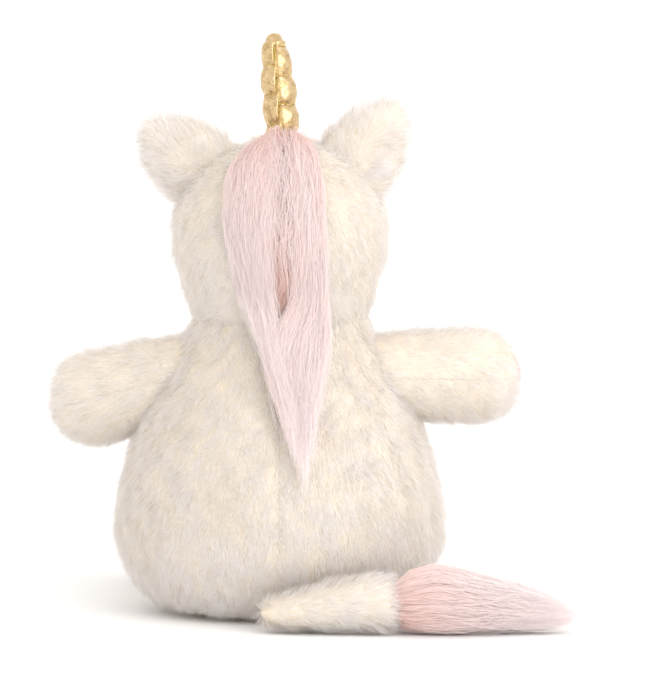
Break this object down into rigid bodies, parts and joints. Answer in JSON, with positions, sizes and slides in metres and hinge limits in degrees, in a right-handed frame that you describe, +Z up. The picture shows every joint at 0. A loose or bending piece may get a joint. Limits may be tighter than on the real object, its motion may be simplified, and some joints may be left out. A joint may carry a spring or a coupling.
{
  "type": "plush unicorn",
  "caption": "Sitting plush unicorn with cream fur, foil horn, pink mane, long-haired tail, and arms, legs, head and ears that move",
  "frame": {"origin": "centre of the flat seat, on the surface that the toy sits on", "axes": "+Z up; the toy faces -Y; its own left is +X; its tail lies behind it towards -X"},
  "size_m": [0.3355, 0.292, 0.3472],
  "materials": {
    "cream_plush": "long-pile faux fur, cream",
    "stuffing": "polyester fibre filling",
    "pellet_pouch": "woven cotton pouch filled with plastic pellets",
    "pink_hair": "long straight faux hair, pale pink",
    "pink_backing": "knitted backing, salmon",
    "pink_pad": "short satin plush, pink",
    "gold_foil": "foil-coated fabric, gold, shiny",
    "gold_thread": "twisted metallic thread",
    "eye_plastic": "polished, dark brown",
    "washer_plastic": "moulded, natural",
    "face_thread": "embroidery thread, satin stitch"
  },
  "bodies": {
    "torso": {"torso_back_left_panel": "cream_plush", "torso_back_right_panel": "cream_plush", "torso_front_left_panel": "cream_plush", "torso_front_right_panel": "cream_plush", "torso_base_panel": "cream_plush", "torso_stuffing": "stuffing", "pellet_pouch": "pellet_pouch", "neck_stuffing": "stuffing"},
    "head": {"head_left_panel": "cream_plush", "head_right_panel": "cream_plush", "head_crown_gusset": "cream_plush", "chin_panel": "cream_plush", "muzzle_cover": "cream_plush", "muzzle_stuffing": "stuffing", "head_stuffing": "stuffing", "eye_left": "eye_plastic", "eye_right": "eye_plastic", "eye_washer_left": "washer_plastic", "eye_washer_right": "washer_plastic", "nostril_left": "face_thread", "nostril_right": "face_thread", "mouth_stitching": "face_thread", "mane_backing": "pink_backing", "mane_lock_left": "pink_hair", "mane_lock_right": "pink_hair"},
    "mane_fall": {"mane_fall": "pink_hair"},
    "horn": {"horn_cover": "gold_foil", "horn_stuffing": "stuffing", "horn_thread": "gold_thread"},
    "ear_left": {"ear_left_outer_panel": "cream_plush", "ear_left_lining": "pink_pad"},
    "ear_right": {"ear_right_outer_panel": "cream_plush", "ear_right_lining": "pink_pad"},
    "arm_left": {"arm_left_top_panel": "cream_plush", "arm_left_bottom_panel": "cream_plush", "arm_left_hoof_pad": "pink_pad", "arm_left_stuffing": "stuffing"},
    "arm_right": {"arm_right_top_panel": "cream_plush", "arm_right_bottom_panel": "cream_plush", "arm_right_hoof_pad": "pink_pad", "arm_right_stuffing": "stuffing"},
    "leg_left": {"leg_left_top_panel": "cream_plush", "leg_left_bottom_panel": "cream_plush", "leg_left_sole_pad": "pink_pad", "leg_left_stuffing": "stuffing"},
    "leg_right": {"leg_right_top_panel": "cream_plush", "leg_right_bottom_panel": "cream_plush", "leg_right_sole_pad": "pink_pad", "leg_right_stuffing": "stuffing"},
    "tail": {"tail_sleeve": "cream_plush", "tail_stuffing": "stuffing", "tail_tuft": "pink_hair"}
  },
  "joints": [
    {"name": "neck_turn", "type": "hinge", "parent": "torso", "child": "head", "pos_m": [0, 0, 0.176], "axis": [0, 0, 1], "range_deg": [-25, 25], "stiffness_Nm_per_rad": 0.6},
    {"name": "mane_lift", "type": "hinge", "parent": "head", "child": "mane_fall", "pos_m": [0, 0.063, 0.184], "axis": [1, 0, 0], "range_deg": [0, 40]},
    {"name": "horn_bend", "type": "hinge", "parent": "head", "child": "horn", "pos_m": [-0.003, -0.022, 0.27], "axis": [1, 0, 0], "range_deg": [-12, 12], "stiffness_Nm_per_rad": 0.15},
    {"name": "ear_left_fold", "type": "hinge", "parent": "head", "child": "ear_left", "pos_m": [0.048, -0.002, 0.268], "axis": [0.6157, 0, -0.788], "range_deg": [-20, 25], "stiffness_Nm_per_rad": 0.1},
    {"name": "ear_right_fold", "type": "hinge", "parent": "head", "child": "ear_right", "pos_m": [-0.046, -0.002, 0.271], "axis": [0.809, 0, 0.5878], "range_deg": [-20, 25], "stiffness_Nm_per_rad": 0.1},
    {"name": "shoulder_left", "type": "hinge", "parent": "torso", "child": "arm_left", "pos_m": [0.056, 0, 0.143], "axis": [-0.3746, -0.9272, 0], "range_deg": [-8, 48], "stiffness_Nm_per_rad": 0.8},
    {"name": "shoulder_right", "type": "hinge", "parent": "torso", "child": "arm_right", "pos_m": [-0.056, 0, 0.143], "axis": [-0.1045, 0.9945, 0], "range_deg": [-18, 30], "stiffness_Nm_per_rad": 0.8},
    {"name": "hip_left", "type": "hinge", "parent": "torso", "child": "leg_left", "pos_m": [0.05, -0.058, 0.0343], "axis": [-0.9925, -0.1219, 0], "range_deg": [0, 30], "stiffness_Nm_per_rad": 0.8},
    {"name": "hip_right", "type": "hinge", "parent": "torso", "child": "leg_right", "pos_m": [-0.05, -0.058, 0.0343], "axis": [-0.9925, 0.1219, 0], "range_deg": [0, 30], "stiffness_Nm_per_rad": 0.8},
    {"name": "tail_swing", "type": "hinge", "parent": "torso", "child": "tail", "pos_m": [0, 0.097, 0.0175], "axis": [0, 0, -1], "range_deg": [0, 60], "stiffness_Nm_per_rad": 0.1}
  ]
}
